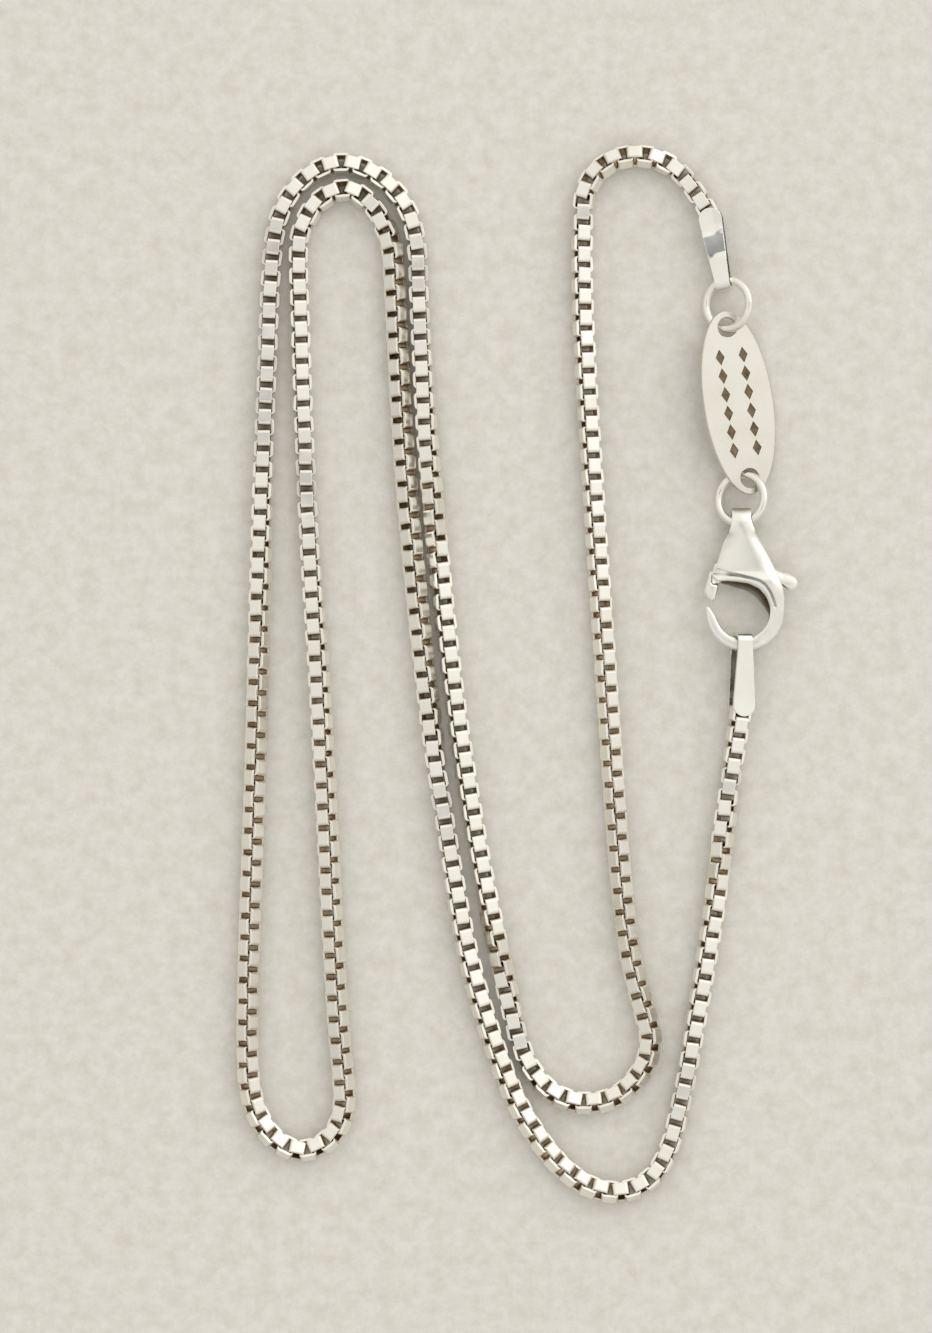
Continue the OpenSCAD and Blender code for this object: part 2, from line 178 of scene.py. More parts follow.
def silver(name, tint, rough, scratch, darkening=BROWN_TARNISH_AND_SHADE, wear_and_shade=True):
    """Silver with hazy patches, fine scratches, and tarnish with painted shade.

    The tarnish and painted shade sit where the mesh's attribute for them is low, or else in the hollows that
    ambient occlusion finds.
    """
    mat, nodes, links, shader = new_material(name)
    shader.inputs["Metallic"].default_value = 1.0
    place = nodes.new("ShaderNodeTexCoord").outputs["Object"]
    haze = noise(nodes, links, place, scale=HAZE_SCALE, detail=4.0, roughness=0.55)
    stretch = add_node(nodes, "ShaderNodeMapping", in_Scale=SCRATCH_STRETCH, in_Rotation=SCRATCH_TURN)
    links.new(place, stretch.inputs["Vector"])
    fine = noise(nodes, links, stretch.outputs["Vector"], scale=scratch, detail=3.0, roughness=0.7)
    spread = add_node(nodes, "ShaderNodeMapRange",
                      in_From_Min=0.3, in_From_Max=0.7, in_To_Min=rough[0], in_To_Max=rough[1])
    links.new(haze, spread.inputs["Value"])
    links.new(spread.outputs["Result"], shader.inputs["Roughness"])
    shade = [t * s for t, s in zip(tint, HAZE_SHADE)]
    tone = ramp(nodes, links, haze, [(0.3, shade), (0.7, tint)])
    if wear_and_shade:
        bright = add_node(nodes, "ShaderNodeAttribute", attribute_name="wear_and_shade")
        patchy = add_node(nodes, "ShaderNodeMath", operation="MULTIPLY_ADD")
        links.new(haze, patchy.inputs[0])
        patchy.inputs[1].default_value = HAZE_EDGE
        links.new(bright.outputs["Fac"], patchy.inputs[2])
        level, low = patchy.outputs["Value"], 0.1
    else:
        # Without the attribute, ambient occlusion paints tarnish and shade into the hollows
        hollow = add_node(nodes, "ShaderNodeAmbientOcclusion", samples=3, in_Distance=HOLLOW * MM)
        level, low = hollow.outputs["AO"], 0.0
    deep, mid = darkening
    near = [0.75 * a + 0.25 * b for a, b in zip(deep, mid)]
    stops = [(low, deep), (low + 0.2, near), (low + 0.5, mid), (low + 0.9, (1, 1, 1))]
    tarnish_and_shade = ramp(nodes, links, level, stops)
    mix = add_node(nodes, "ShaderNodeMix", data_type="RGBA", blend_type="MULTIPLY")
    mix.inputs["Factor"].default_value = 1.0
    links.new(tone, mix.inputs[6])
    links.new(tarnish_and_shade, mix.inputs[7])
    links.new(mix.outputs[2], shader.inputs["Base Color"])
    add_bump(nodes, links, shader, fine, strength=0.1, distance=SCRATCH_DEPTH)
    return mat


def oxide_material():
    """Dark brown oxide left in engraved hollows."""
    mat, nodes, links, shader = new_material("brown_oxide")
    place = nodes.new("ShaderNodeTexCoord").outputs["Object"]
    spots = noise(nodes, links, place, scale=2500.0, detail=4.0, roughness=0.6)
    tone = ramp(nodes, links, spots, [(0.3, (0.10, 0.065, 0.03)), (0.7, (0.27, 0.20, 0.12))])
    links.new(tone, shader.inputs["Base Color"])
    shader.inputs["Metallic"].default_value = 0.3
    shader.inputs["Roughness"].default_value = 0.6
    return mat


CHAIN_METAL = silver("chain_silver", (0.96, 0.94, 0.885), rough=(0.24, 0.36), scratch=7000.0,
                     darkening=CHAIN_TARNISH_AND_SHADE)
FITTING_METAL = silver("fitting_silver", (0.93, 0.915, 0.865), rough=(0.14, 0.24), scratch=6000.0)
CAST_METAL = silver("cast_silver", (0.95, 0.935, 0.885), rough=(0.28, 0.38), scratch=6000.0,
                    darkening=CAST_TARNISH_AND_SHADE)
# The tag's silver is a darker copy of the other silver: painted shade that holds down the reflection of the
# bright tent on the tilted tag
SHADED_TAG_METAL = silver("tag_silver", (0.715, 0.7, 0.65), rough=(0.22, 0.34), scratch=7000.0)
PIN_METAL = silver("pin_silver", (0.72, 0.71, 0.69), rough=(0.3, 0.42), scratch=7000.0, wear_and_shade=False)
OXIDE = oxide_material()


def add_piece(name, mesh, body, node):
    """An object for a finished mesh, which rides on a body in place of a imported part."""
    obj = bpy.data.objects.new(name, mesh)
    bpy.context.collection.objects.link(obj)
    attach(obj, body)
    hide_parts(node)


# How bright each vertex stays: low values get tarnish and painted shade
def set_wear_and_shade(mesh, values):
    mesh.attributes.new("wear_and_shade", "FLOAT", "POINT").data.foreach_set("value", values)


# Middle line of the chain

# Distance between its points, rounds of smoothing of its roll, and reach on either side for its direction
LINE_STEP = 0.05
ROLL_ROUNDS = 6
REACH = 0.3


def rest_height(roll):
    """Height of the chain's middle above the table when it lies at a roll."""
    c, s = abs(math.cos(math.radians(roll))), abs(math.sin(math.radians(roll)))
    return max(CHAIN_W * c + STRIP_W * s, STRIP_W * c + CHAIN_W * s) / 2


def catmull(points, step):
    """Centripetal Catmull-Rom curve through the points, sampled about every step."""
    pts = [np.array(p, float) for p in points]
    pts = [2 * pts[0] - pts[1]] + pts + [2 * pts[-1] - pts[-2]]
    out = []
    for i in range(1, len(pts) - 2):
        p0, p1, p2, p3 = pts[i - 1:i + 3]
        pairs = ((p0, p1), (p1, p2), (p2, p3))
        gap = [max(np.linalg.norm((b - a)[:2]), 1e-6) ** 0.5 for a, b in pairs]
        t0, t1 = 0.0, gap[0]
        t2, t3 = t1 + gap[1], t1 + gap[1] + gap[2]
        count = max(2, int(np.linalg.norm((p2 - p1)[:2]) / step))
        for t in np.linspace(t1, t2, count, endpoint=False):
            a1 = (t1 - t) / (t1 - t0) * p0 + (t - t0) / (t1 - t0) * p1
            a2 = (t2 - t) / (t2 - t1) * p1 + (t - t1) / (t2 - t1) * p2
            a3 = (t3 - t) / (t3 - t2) * p2 + (t - t2) / (t3 - t2) * p3
            b1 = (t2 - t) / (t2 - t0) * a1 + (t - t0) / (t2 - t0) * a2
            b2 = (t3 - t) / (t3 - t1) * a2 + (t - t1) / (t3 - t1) * a3
            out.append((t2 - t) / (t2 - t1) * b1 + (t - t1) / (t2 - t1) * b2)
    out.append(pts[-2])
    return np.array(out)


LINE = catmull(START + [(x, y, rest_height(roll), roll) for x, y, roll in ROUTE] + END, LINE_STEP)
for _ in range(ROLL_ROUNDS):
    LINE[1:-1, 3] = (LINE[:-2, 3] + 2 * LINE[1:-1, 3] + LINE[2:, 3]) / 4
LENGTH = np.concatenate([[0], np.cumsum(np.linalg.norm(np.diff(LINE[:, :3], axis=0), axis=1))])
TOTAL = LENGTH[-1]


def at_length(s):
    return np.array([np.interp(s, LENGTH, LINE[:, k]) for k in range(4)])


def chain_frame(s):
    """The chain at a length along it: place, forward, normal turned by the roll, and side."""
    p = at_length(s)
    forward = at_length(min(s + REACH, TOTAL))[:3] - at_length(max(s - REACH, 0))[:3]
    forward /= np.linalg.norm(forward)
    up = np.array([0.0, 0.0, 1.0])
    right = np.cross(forward, up)
    right /= np.linalg.norm(right)
    up = np.cross(right, forward)
    roll = math.radians(p[3])
    normal = math.cos(roll) * up + math.sin(roll) * right
    return p[:3], forward, normal, np.cross(forward, normal)


# Links

# The strip's bends at the corners of a link
BEND_R = 0.17
BEND_POINTS = 5

# Size and shape of the strip's bevelled edges: 0.5 is flat, 0.7 is round and 1 is sharp
BEVEL = 0.055
BEVEL_ROUND = 0.7

# How much thinner an end bar is at its edges, and how much painted shade its outer face gets
CROWN = 0.08
END_BAR_SHADE = 0.62


def link_loop():
    """Middle line of one link's strip, round its box: x, y and the outward normal."""
    half_l, half_w = (LINK_L - STRIP_T) / 2, (LINK_W - STRIP_T) / 2
    path = []
    for cx, cy, start in ((1, 1, 0), (-1, 1, 90), (-1, -1, 180), (1, -1, 270)):
        for k in range(BEND_POINTS):
            a = math.radians(start + 90 / (BEND_POINTS - 1) * k)
            n = (math.cos(a), math.sin(a))
            path.append((cx * (half_l - BEND_R) + BEND_R * n[0], cy * (half_w - BEND_R) + BEND_R * n[1], n))
    loop = []
    for i, here in enumerate(path):
        loop.append(here)
        if i % BEND_POINTS == BEND_POINTS - 1:
            there = path[(i + 1) % len(path)]
            loop.append(tuple((here[k] + there[k]) / 2 for k in (0, 1)) + (here[2],))
    return loop


def link_shape():
    """One link: a flat strip bent into a box-shaped loop, bevelled, with crowned end bars.

    x runs along the chain, y across the loop and z across the strip.
    """
    h, w = STRIP_T / 2, STRIP_W / 2
    inset = BEVEL * (1 - BEVEL_ROUND)
    section = [
        (h, w - BEVEL), (h, 0), (h, BEVEL - w), (h - inset, inset - w), (h - BEVEL, -w),
        (BEVEL - h, -w), (inset - h, inset - w), (-h, BEVEL - w), (-h, 0), (-h, w - BEVEL),
        (inset - h, w - inset), (BEVEL - h, w), (h - BEVEL, w), (h - inset, w - inset),
    ]
    loop = link_loop()
    verts, wear_and_shade, normals = [], [], []
    for x, y, n in loop:
        crown = CROWN * abs(n[0]) ** 3
        # Painted shade on the end bars' outer faces; the inner faces, in the hollows between links, get
        # tarnish and painted shade
        end_bar_shade = END_BAR_SHADE * min(max((abs(n[0]) - 0.5) / 0.35, 0), 1)
        for out, across in section:
            lean_out = (abs(out) > h - 0.9 * BEVEL) * math.copysign(1, out)
            lean_across = (abs(across) > w - 0.9 * BEVEL) * math.copysign(1, across)
            size = math.hypot(lean_out, lean_across)
            normals.append((lean_out / size * n[0], lean_out / size * n[1], lean_across / size))
            darkening = end_bar_shade * (out > h - 0.5 * BEVEL)
            wear_and_shade.append(1.0 - darkening if out > 1.1 * (BEVEL - h) else 0.0)
            if out < 0:
                out += crown * (across / w) ** 2
            verts.append((x + out * n[0], y + out * n[1], across))
    faces = []
    m, k = len(loop), len(section)
    for i in range(m):
        for j in range(k):
            a, b = i * k + j, i * k + (j + 1) % k
            c, d = (i + 1) % m * k + (j + 1) % k, (i + 1) % m * k + j
            faces.append((a, d, c, b))
    return np.array(verts), faces, wear_and_shade, np.array(normals)


LINK_VERTS, LINK_FACES, LINK_WEAR_AND_SHADE, LINK_NORMALS = link_shape()

# Length left free at each end of the line, number of links, their real pitch and the first of links_b
PHASE = 0.45
COUNT = 2 * round((TOTAL - 2 * PHASE) / PITCH / 2)
STEP = (TOTAL - 2 * PHASE) / (COUNT - 1)
SPLIT_AT = LENGTH[np.argmin(np.linalg.norm(LINE[:, :2] - np.array(ROUTE[SPLIT_ROW][:2]), axis=1))]
SPLIT = int(round((SPLIT_AT - PHASE) / STEP))

# How loosely the links lie, in radians
SLACK = 0.03


def links_piece(name, node, first, last, seed):
    """Interlocking links from one number up to another, every second one turned by a quarter."""
    rng = np.random.default_rng(seed)
    verts, faces, normals = [], [], []
    for i in range(first, last):
        p, forward, normal, side = chain_frame(PHASE + i * STEP)
        across = normal if i % 2 else side
        along = np.cross(across, forward)
        tip, sway = rng.normal(0, SLACK, 2)
        turn = np.array([
            forward + tip * across + sway * along, across - tip * forward, along - sway * forward,
        ])
        turn /= np.linalg.norm(turn, axis=1)[:, None]
        base = len(verts) * len(LINK_VERTS)
        verts.append(LINK_VERTS @ turn + p)
        normals.append(LINK_NORMALS @ turn)
        faces += [tuple(base + v for v in f) for f in LINK_FACES]
    mesh = bpy.data.meshes.new(name)
    mesh.from_pydata((np.concatenate(verts) * MM).tolist(), [], faces)
    mesh.polygons.foreach_set("use_smooth", [True] * len(mesh.polygons))
    mesh.normals_split_custom_set_from_vertices(np.concatenate(normals).tolist())
    set_wear_and_shade(mesh, LINK_WEAR_AND_SHADE * (last - first))
    mesh.materials.append(CHAIN_METAL)
    add_piece(name, mesh, "necklace", node)


links_piece("links_a", "chain_a", 0, SPLIT, seed=5)
links_piece("links_b", "chain_b", SPLIT, COUNT, seed=6)


# Fittings: each stands for its imported part, with softer edges, tarnish and painted shade in its hollows,
# and small bends

# Strengths of the two moves of relax: towards the neighbours, and back out so that nothing shrinks
RELAX_IN, RELAX_OUT = 0.6, -0.62


def smooth_step(x, low, high):
    """0 up to low, 1 from high on, and a smooth rise between them."""
    t = np.clip((x - low) / (high - low), 0, 1)
    return t * t * (3 - 2 * t)


def until(x, end, over):
    """1 at first, falling smoothly to 0 at the end, over a length."""
    return smooth_step(end - x, 0.0, over)


def neighbour_count(edges, count):
    a, b = edges.T
    return np.maximum(np.bincount(a, minlength=count) + np.bincount(b, minlength=count), 1)


def neighbour_sum(values, edges):
    a, b = edges.T
    return np.bincount(a, values[b], len(values)) + np.bincount(b, values[a], len(values))


def relax(verts, edges, rounds):
    """Rounds off edges by moving each vertex towards its neighbours and back out, a number of times."""
    count = neighbour_count(edges, len(verts))[:, None]
    for _ in range(rounds):
        for factor in (RELAX_IN, RELAX_OUT):
            total = np.stack([neighbour_sum(verts[:, k], edges) for k in range(3)], axis=1)
            verts = verts + factor * (total / count - verts)
    return verts


def even_out(values, edges, rounds, weight):
    """Spreads a coordinate over its neighbours, so that flat facets melt into one another."""
    count = neighbour_count(edges, len(values))
    for _ in range(rounds):
        values = values + weight * (neighbour_sum(values, edges) / count - values)
    return values


def fine_mesh(node, cell):
    """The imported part's mesh rebuilt in small even cells, with its vertices and edges."""
    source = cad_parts[node].data.copy()
    source.transform(TO_MM)
    obj = bpy.data.objects.new("cells", source)
    bpy.context.collection.objects.link(obj)
    mod = obj.modifiers.new("cells", "REMESH")
    mod.mode = "VOXEL"
    mod.voxel_size = cell
    mesh = bpy.data.meshes.new_from_object(obj.evaluated_get(bpy.context.evaluated_depsgraph_get()))
    bpy.data.objects.remove(obj)
    verts = np.empty(len(mesh.vertices) * 3)
    mesh.vertices.foreach_get("co", verts)
    edges = np.empty(len(mesh.edges) * 2, int)
    mesh.edges.foreach_get("vertices", edges)
    return mesh, verts.reshape(-1, 3), edges.reshape(-1, 2)


def normals_of(mesh, verts):
    mesh.vertices.foreach_set("co", verts.ravel())
    mesh.update()
    out = np.empty(len(mesh.vertices) * 3)
    mesh.vertices.foreach_get("normal", out)
    return out.reshape(-1, 3)


def add_fitting(name, node, body, metal, mesh, verts, wear_and_shade):
    """A finished fitting from a mesh and its moved vertices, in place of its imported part."""
    mesh.vertices.foreach_set("co", (verts * MM).ravel())
    mesh.update()
    mesh.polygons.foreach_set("use_smooth", [True] * len(mesh.polygons))
    set_wear_and_shade(mesh, np.asarray(wear_and_shade, dtype=np.float32))
    mesh.materials.clear()
    mesh.materials.append(metal)
    add_piece(name, mesh, body, node)


# Clasp

# In these functions x, y and z are measured from the middle of the clasp's opening.
CLASP_AT = np.array([16.08, 4.38, 1.2])

# Middle of the neck across, middle of the eye upwards, and half the thickness at the ledge
NECK_X = -0.13
EYE_Y = 6.2
LEDGE_Z = 0.85

# Sides of the clasp from the shoulders up to the eye: height, left and right
FLANKS = [
    (3.2, -2.1, 2.17), (3.7, -1.88, 1.93), (4.25, -1.68, 1.655), (5.14, -1.32, 1.157),
    (5.67, -1.106, 0.89), (5.95, -1.0, 0.77), (6.21, -0.93, 0.676), (6.7, -0.875, 0.56), (7.3, -0.87, 0.53),
]

# Step line above the opening, from left to right round it
STEP_LINE = [
    (-1.95, 3.1), (-1.6, 3.02), (-1.1, 2.82), (-0.5, 2.7), (0.57, 2.43), (1.1, 2.24), (1.5, 1.98),
    (1.89, 1.4), (2.1, 0.9), (2.28, 0.36),
]

# Half the thickness of the hook at each turn round the right of the opening
HOOK_TURNS = [-90, -60, -30, -10, 10, 30, 60]
HOOK_HALF_T = [0.42, 0.45, 0.56, 0.67, 0.76, 0.82, 0.85]


def radius_of(x, y):
    return np.maximum(np.hypot(x, y), 0.1)


def angle_of(x, y):
    return np.degrees(np.arctan2(y, x))


def distance_to_line(x, y, line):
    best = np.full(len(x), 1e9)
    for (ax, ay), (bx, by) in zip(line, line[1:]):
        t = np.clip(((x - ax) * (bx - ax) + (y - ay) * (by - ay)) / ((bx - ax) ** 2 + (by - ay) ** 2), 0, 1)
        best = np.minimum(best, np.hypot(x - ax - t * (bx - ax), y - ay - t * (by - ay)))
    return best


def fill_neck(x, y, z, edges, face, normals):
    """Soft cheeks above the ledge, a full neck from the eye to the shoulders, and a soft lower band."""
    cheek = smooth_step(np.abs(z), 0.35, 0.8) * smooth_step(y, 2.75, 3.3) * until(y, 7.0, 0.8)
    z = even_out(z, edges, 130, 0.8 * cheek)
    rise = (normals[:, 2] * face > -0.35) * (np.abs(z) > 0.45) * smooth_step(y, 4.3, 4.9) * (y < 6.3)
    half_w = np.interp(y, [4.4, 4.96, 5.7, 6.2], [1.42, 1.17, 0.87, 0.73])
    full = 1.17 * np.clip(1 - (np.abs(x - NECK_X) / half_w) ** 4, 0, 1) ** 0.25
    z = z + face * rise * np.maximum(full - np.abs(z), 0)
    neck = smooth_step(y, 4.2, 5.0) * until(y, 6.6, 0.8)
    z = even_out(z, edges, 200, 0.8 * neck * smooth_step(np.abs(z), 0.2, 0.5))
    band = smooth_step(np.abs(z), 0.2, 0.35) * until(y, 2.6, 0.8)
    return even_out(z, edges, 24, 0.7 * band)


def slope_faces(x, y, z, edges, face):
    """Both faces fall away on either side of a ridge, and thin down from the eye to the shoulders."""
    ridge = np.interp(y, [3.0, 3.6, 5.5, 6.1, 7.0], [2.0, 1.7, 0.3, -0.2, -0.2])
    aside = np.sqrt((x - ridge) ** 2 + 0.02) - 0.14
    tilt_left = np.interp(y, [4.0, 5.4], [0.12, 0.2])
    tilt_right = np.interp(y, [3.6, 5.4], [0.06, 0.2])
    tilt = np.where(x < ridge, tilt_left, tilt_right)
    fall = tilt * aside * smooth_step(y, 2.2, 3.0) * smooth_step(np.abs(z), 0.3, 0.8) * until(y, 7.5, 0.6)
    thin = 0.05 * np.clip(6.0 - y, 0, 3.2) * smooth_step(np.abs(z), 0.5, 1.0) * smooth_step(y, 2.2, 2.9)
    z = z - face * np.clip(fall + thin, 0, 0.6)
    soft = 0.8 * smooth_step(np.abs(z), 0.4, 0.8) * smooth_step(y, 2.9, 3.4) * until(y, 7.2, 0.5)
    return even_out(z, edges, 110, soft)


def flare_sides(x, y, edges):
    """The sides flare out gently from the eye to the shoulders, along FLANKS."""
    rows = np.arange(3.2, 7.3, 0.04)
    left = np.array([x[np.abs(y - r) < 0.03].min() for r in rows])
    right = np.array([x[np.abs(y - r) < 0.03].max() for r in rows])
    heights, lefts, rights = zip(*FLANKS)
    left_now, right_now = np.interp(y, rows, left), np.interp(y, rows, right)
    share = (x - left_now) / np.interp(y, rows, right - left)
    shift = (np.interp(y, heights, lefts) - left_now) * (1 - share)
    shift = shift + (np.interp(y, heights, rights) - right_now) * share
    x = x + shift * smooth_step(y, 3.25, 3.6) * until(y, 7.0, 0.3)
    return even_out(x, edges, 10, 0.8 * smooth_step(y, 3.4, 3.8) * until(y, 7.0, 0.3))


def thin_hook(x, y, z, edges):
    """Round the right of the opening the ledge thins down smoothly to the hook."""
    angle = angle_of(x, y)
    turns = np.arange(-100, 61, 1.0)
    thick = np.array([
        min(np.abs(z[(np.abs(angle - t) < 0.8) & (np.hypot(x, y) < 3.4)]).max(), LEDGE_Z) for t in turns
    ])
    wanted = np.interp(angle, HOOK_TURNS, HOOK_HALF_T)
    low = np.minimum(np.abs(z), LEDGE_Z) * wanted / np.interp(angle, turns, thick)
    high = np.maximum(np.abs(z) - LEDGE_Z, 0) * smooth_step(angle, 4, 45)
    z = np.where((angle > -92) * (angle < 62) * (x > 0), np.sign(z) * (low + high), z)
    soft = 0.8 * smooth_step(np.abs(z), 0.25, 0.4) * smooth_step(x, 1.2, 1.8) * until(y, 2.2, 0.6)
    return even_out(z, edges, 20, soft)


def roll_ledge(x, y, z, face, line):
    """The ledge rises in a soft roll from a groove along the step line."""
    step_y = np.interp(x, [q[0] for q in STEP_LINE], [q[1] for q in STEP_LINE])
    inside = smooth_step(-(y - step_y), -0.05, 0.1) * smooth_step(y, 0.0, 0.8)
    roll_off = np.interp(line, [0.0, 0.12, 0.3, 0.6, 1.2], [0.0, 0.05, 0.03, -0.12, -0.3])
    groove = 0.06 * np.exp(-((line - 0.02) / 0.06) ** 2)
    moved = inside * roll_off * smooth_step(1.02 - np.abs(z), 0.0, 0.1) - groove
    return z + face * smooth_step(np.abs(z), 0.55, 0.75) * moved


def draw_wall_in(x, y, z, edges):
    """Below the gate's slot the wall of the opening comes further in, so that it shows from above.

    Gives x and y, and the radius of the wall's smooth arc at each turn.
    """
    radius = radius_of(x, y)
    wall = smooth_step(-z, 0.36, 0.46) * smooth_step(y + 0.25 * x, 0.1, 1.3) * until(radius, 3.3, 0.9)
    pull = 0.58 * wall * smooth_step(x, -2.1, -1.3)
    x, y = x - pull * x / radius, y - pull * y / radius
    edge = smooth_step(y + 0.25 * x, 0.3, 1.0) * until(radius, 3.0, 0.5) * smooth_step(x, -1.7, -1.1)
    x, y = even_out(x, edges, 22, 0.8 * edge), even_out(y, edges, 22, 0.8 * edge)
    pulled = smooth_step(pull, 0.1, 0.3)
    x, y = even_out(x, edges, 70, 0.8 * pulled), even_out(y, edges, 70, 0.8 * pulled)
    angle = angle_of(x, y)
    lower = (z < -0.4) & (z > -0.8)
    turns = [t for t in np.arange(-20, 171, 2.0) if np.any(lower & (np.abs(angle - t) < 1.5))]
    inner = np.array([np.hypot(x, y)[lower & (np.abs(angle - t) < 1.5)].min() for t in turns])
    reach = 12
    kernel = np.exp(-(np.arange(-reach, reach + 1) / 6.0) ** 2)
    arc = np.convolve(np.pad(inner, reach, mode="edge"), kernel / kernel.sum(), mode="valid")
    radius = radius_of(x, y)
    shift = np.interp(angle, turns, arc) - np.interp(angle, turns, inner)
    shift = shift * pulled * until(radius, 2.9, 0.5)
    return x + shift * x / radius, y + shift * y / radius, turns, arc


def clasp_wear_and_shade(x, y, z, normals, line, turns, arc):
    """How bright each place of the clasp stays, from its hollows, where tarnish and painted shade go, up to
    its faces.
    """
    radius = radius_of(x, y)
    inward = -(normals[:, 0] * x + normals[:, 1] * y) / radius
    depth = (radius - np.interp(angle_of(x, y), turns, arc)) / 0.4
    wall = smooth_step(inward, 0.3, 0.7) * until(z, 0.72, 0.15)
    shelf = smooth_step(-z, 0.2, 0.3) * (normals[:, 2] > -0.3)
    near = smooth_step(y + 0.25 * x, -0.5, 0.3) * until(radius, 3.3, 0.5)
    # Tarnish and painted shade on the wall and shelf of the opening, darker the deeper
    opening = (0.62 + 0.38 * smooth_step(depth, 0.0, 0.8)) * near * np.maximum(wall, shelf)
    # Painted shade in the groove along the step line, on the sides of the gate's slot and inside the eye
    groove = 0.5 * np.exp(-((line - 0.02) / 0.055) ** 2) * smooth_step(np.abs(z), 0.5, 0.7)
    slot = 0.6 * until(np.abs(z), 0.46, 0.08) * smooth_step(y, 0.6, 1.2)
    slot = slot * (np.abs(normals[:, 2]) < 0.8) * (normals[:, 0] * np.sign(x - NECK_X) < 0.3)
    up = y - EYE_Y
    eye = 0.5 * until(np.hypot(up, z), 1.1, 0.1) * (normals[:, 1] * up + normals[:, 2] * z < -0.3)
    return 1 - np.clip(np.maximum.reduce([opening, groove, slot, eye]), 0, 1)


def clasp_piece():
    mesh, verts, edges = fine_mesh("clasp_body", cell=0.05)
    verts = relax(verts, edges, rounds=14)
    x, y, z = (verts - CLASP_AT).T
    face = np.sign(z)
    z = fill_neck(x, y, z, edges, face, normals_of(mesh, verts))
    z = slope_faces(x, y, z, edges, face)
    notch = 0.8 * smooth_step(y, 5.2, 5.5) * until(y, 6.2, 0.3) * smooth_step(np.abs(x - NECK_X), 0.55, 0.75)
    x, y, z = [even_out(v, edges, 50, notch) for v in (x, y, z)]
    x = flare_sides(x, y, edges)
    z = thin_hook(x, y, z, edges)
    line = distance_to_line(x, y, STEP_LINE)
    z = roll_ledge(x, y, z, face, line)
    x, y, turns, arc = draw_wall_in(x, y, z, edges)
    verts = relax(np.stack([x, y, z], axis=1) + CLASP_AT, edges, rounds=4)
    x, y, z = (verts - CLASP_AT).T
    wear_and_shade = clasp_wear_and_shade(x, y, z, normals_of(mesh, verts), line, turns, arc)
    add_fitting("clasp_cast", "clasp_body", "necklace", CAST_METAL, mesh, verts, wear_and_shade)


def gate_piece():
    """The clasp's gate, with a rounded nose and a rounded thumb tab."""
    mesh, verts, edges = fine_mesh("clasp_gate", cell=0.04)
    verts = relax(verts, edges, rounds=14)
    x, y, z = (verts - CLASP_AT).T
    face = np.sign(z)
    nose = smooth_step(-1.2 - x, 0.0, 0.4)
    tab = smooth_step(x, 2.3, 2.9)
    ends = 0.7 * np.maximum(nose, tab)
    x, y = even_out(x, edges, 40, ends), even_out(y, edges, 40, ends)
    z = even_out(z, edges, 40, ends * smooth_step(np.abs(z), 0.1, 0.25))
    nose_x = x + 2.15
    nose_fall = 0.16 * nose_x ** 2 + 0.06 * (y - 2.2) ** 2 + 0.07 * np.abs(nose_x)
    tab_fall = 0.12 * (x - 3.1) ** 2 + 0.3 * (y - 2.0) ** 2
    fall = np.minimum(nose * nose_fall + tab * tab_fall, 0.3)
    z = z - face * smooth_step(np.abs(z), 0.1, 0.3) * fall
    verts = np.stack([x, y, z], axis=1) + CLASP_AT
    add_fitting("gate_cast", "clasp_gate", "gate", CAST_METAL, mesh, verts, np.ones(len(verts)))


# Caps

# The fold of each one, which holds ring A or the clasp's hook
CAP_A_AT = np.array([14.68, 27.88, 1.01])
CAP_B_AT = np.array([15.98, 2.335, 1.2])


def cap_piece(name, node, at, heading, roll, pitch, levelled):
    """A cap's folded strip with a pressed leaf and, if levelled, a short level stretch above the arm."""
    mesh, verts, edges = fine_mesh(node, cell=0.03)
    verts = relax(verts, edges, rounds=5)
    turn = Matrix.Rotation(math.radians(heading), 3, "Z") @ Matrix.Rotation(math.radians(pitch), 3, "X")
    turn = np.array(turn @ Matrix.Rotation(-math.radians(roll), 3, "Y"))
    x, y, z = ((verts - at) @ turn).T
    if levelled:
        level = smooth_step(y, 1.6, 2.15) * until(y, 3.8, 0.45)
        z = z + smooth_step(z, 0.25, 0.4) * level * (0.06 * (y - 2.8) - math.tan(math.radians(roll)) * x)
    z = z - np.sign(z) * 0.05 * np.clip(np.abs(x) - 0.25, 0, 1) * smooth_step(y, 3.4, 3.9)
    verts = np.stack([x, y, z], axis=1) @ turn.T + at
    # The leaves' faces inside the fold, towards each other, get painted shadow
    inner = np.sign(z) * (normals_of(mesh, verts) @ turn)[:, 2] < -0.5
    add_fitting(name, node, "necklace", FITTING_METAL, mesh, verts, 1 - 0.4 * inner)


def ring_piece(name, node):
    mesh, verts, edges = fine_mesh(node, cell=0.04)
    verts = relax(verts, edges, rounds=8)
    add_fitting(name, node, "necklace", FITTING_METAL, mesh, verts, np.ones(len(verts)))


# Tag

# Its middle, its turn on the table and its roll, as in the source
TAG_AT = Vector((15.69, 19.29, 1.156))
TAG_TURN = Matrix.Rotation(math.radians(8.6), 3, "Z") @ Matrix.Rotation(math.radians(19.6), 3, "Y")

# Half the width and half the length of the field of lozenges, and a height that they all lie under
LOZENGES_X, LOZENGES_Y = 1.45, 4.9
LOZENGES_TOP = 0.168


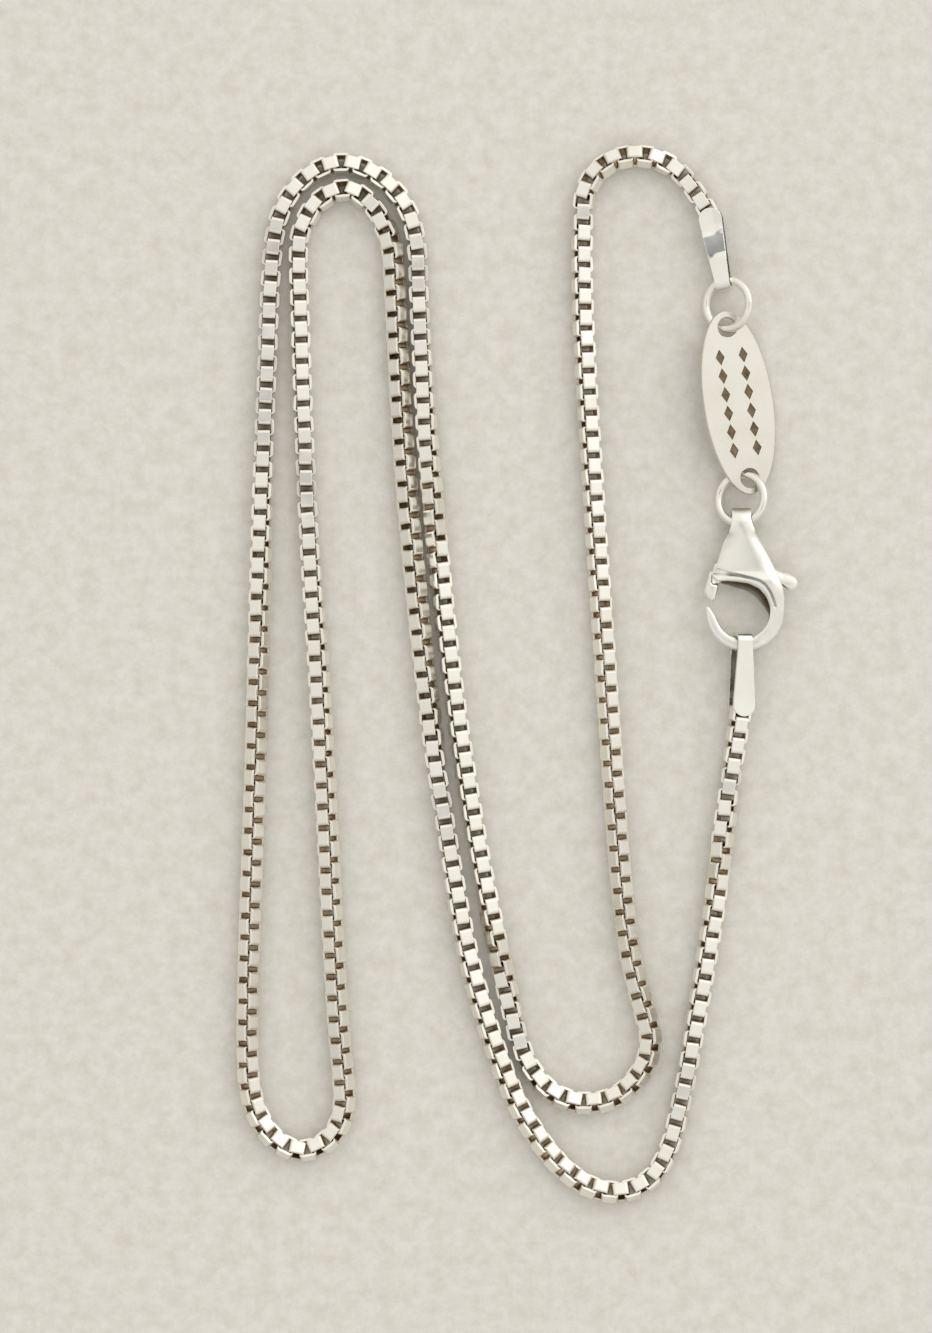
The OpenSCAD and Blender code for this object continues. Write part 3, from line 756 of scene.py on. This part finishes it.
def tag_piece():
    """The oval tag with a rounded rim, and with oxide in its engraved lozenges."""
    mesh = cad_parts["tag_plate"].data.copy()
    shape = bmesh.new()
    shape.from_mesh(mesh)
    shape.transform(TO_MM)
    bmesh.ops.remove_doubles(shape, verts=shape.verts, dist=0.0005)
    for f in shape.faces:
        x, y, z = TAG_TURN.transposed() @ (f.calc_center_median() - TAG_AT)
        if abs(x) < LOZENGES_X and abs(y) < LOZENGES_Y and 0.0 < z < LOZENGES_TOP:
            f.material_index = 1
    rim = [e for e in shape.edges if len(e.link_faces) == 2 and e.calc_face_angle(0) > 1.0
           and not any(f.material_index for f in e.link_faces)]
    bmesh.ops.bevel(shape, geom=rim, offset=0.06, segments=3, profile=0.5, affect="EDGES")
    shape.transform(TO_METRES)
    shape.to_mesh(mesh)
    shape.free()
    part = [f.material_index for f in mesh.polygons]
    mesh.materials.clear()
    mesh.materials.append(SHADED_TAG_METAL)
    mesh.materials.append(OXIDE)
    mesh.polygons.foreach_set("material_index", part)
    up = TAG_TURN.col[2]
    mesh.polygons.foreach_set("use_smooth", [abs(f.normal.dot(up)) < 0.999 for f in mesh.polygons])
    set_wear_and_shade(mesh, [1.0] * len(mesh.vertices))
    add_piece("tag_oval", mesh, "necklace", "tag_plate")


clasp_piece()
gate_piece()
cap_piece("cap_strip_a", "end_cap_a", CAP_A_AT, heading=11, roll=10, pitch=0, levelled=True)
cap_piece("cap_strip_b", "end_cap_b", CAP_B_AT, heading=180, roll=16, pitch=-2, levelled=False)
ring_piece("ring_a", "jump_ring_a")
ring_piece("ring_b", "jump_ring_b")
tag_piece()

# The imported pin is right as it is, and only gets a better material.
for pin_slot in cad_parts["hinge_pin"].material_slots:
    pin_slot.material = PIN_METAL


# Table

# Half the width of the board, in metres
TABLE_HALF = 0.5


def add_floor():
    """A pale matt board with a fine warm mottling."""
    mat, nodes, links, shader = new_material("pale_board")
    place = nodes.new("ShaderNodeTexCoord").outputs["Object"]
    cloud = noise(nodes, links, place, scale=800.0, detail=6.0, roughness=0.75)
    tone = ramp(nodes, links, cloud, [(0.34, (0.707, 0.681, 0.615)), (0.62, (0.819, 0.799, 0.755))])
    links.new(tone, shader.inputs["Base Color"])
    shader.inputs["Roughness"].default_value = 0.7
    shader.inputs["Specular IOR Level"].default_value = 0.2
    grain = noise(nodes, links, place, scale=1400.0, detail=3.0)
    add_bump(nodes, links, shader, grain, strength=0.15, distance=0.05)
    mesh = bpy.data.meshes.new("table")
    h = TABLE_HALF
    mesh.from_pydata([(-h, -h, 0), (h, -h, 0), (h, h, 0), (-h, h, 0)], [], [(0, 1, 2, 3)])
    mesh.materials.append(mat)
    obj = bpy.data.objects.new("table", mesh)
    bpy.context.collection.objects.link(obj)


# Soft studio light: a pale tent, darker near the table and in a spot overhead, and a weak lamp

# Colours of the tent by the height of the direction, from level with the table up to overhead
TENT = [
    (0.0, (0.60, 0.585, 0.55)), (0.2, (0.74, 0.727, 0.69)), (0.45, (0.86, 0.847, 0.80)),
    (0.75, (0.90, 0.886, 0.845)), (0.97, (0.93, 0.916, 0.87)), (0.986, (0.80, 0.80, 0.78)),
    (0.996, (0.24, 0.255, 0.29)), (1.0, (0.18, 0.19, 0.22)),
]

# Towards where the tent is brighter, and by how much
TENT_LEAN = (0.10, 0.20, 0.0)

# Place and size of the lamp, in metres, and its power in watts
LAMP_AT = Vector((0.34, 0.32, 0.3))
LAMP_SIZE = 0.5
LAMP_POWER = 0.35


def add_tent():
    world = bpy.data.worlds.new("studio")
    bpy.context.scene.world = world
    world.use_nodes = True
    nodes, links = world.node_tree.nodes, world.node_tree.links
    direction = nodes.new("ShaderNodeTexCoord").outputs["Generated"]
    split = nodes.new("ShaderNodeSeparateXYZ")
    links.new(direction, split.inputs["Vector"])
    sky = ramp(nodes, links, split.outputs["Z"], TENT)
    lean = add_node(nodes, "ShaderNodeVectorMath", operation="DOT_PRODUCT")
    links.new(direction, lean.inputs[0])
    lean.inputs[1].default_value = TENT_LEAN
    power = add_node(nodes, "ShaderNodeMath", operation="ADD")
    links.new(lean.outputs["Value"], power.inputs[0])
    power.inputs[1].default_value = 1.0
    links.new(sky, nodes["Background"].inputs["Color"])
    links.new(power.outputs["Value"], nodes["Background"].inputs["Strength"])


def add_lamp():
    lamp = bpy.data.lights.new("key", "AREA")
    lamp.shape = "DISK"
    lamp.size = LAMP_SIZE
    lamp.energy = LAMP_POWER
    lamp.color = (1.0, 0.985, 0.95)
    obj = bpy.data.objects.new("key", lamp)
    obj.location = LAMP_AT
    obj.rotation_euler = LAMP_AT.to_track_quat("Z", "Y").to_euler()
    bpy.context.collection.objects.link(obj)


add_floor()
add_tent()
add_lamp()

view = bpy.context.scene.view_settings
view.view_transform = "Standard"
view.look = "None"
view.exposure = 0.0
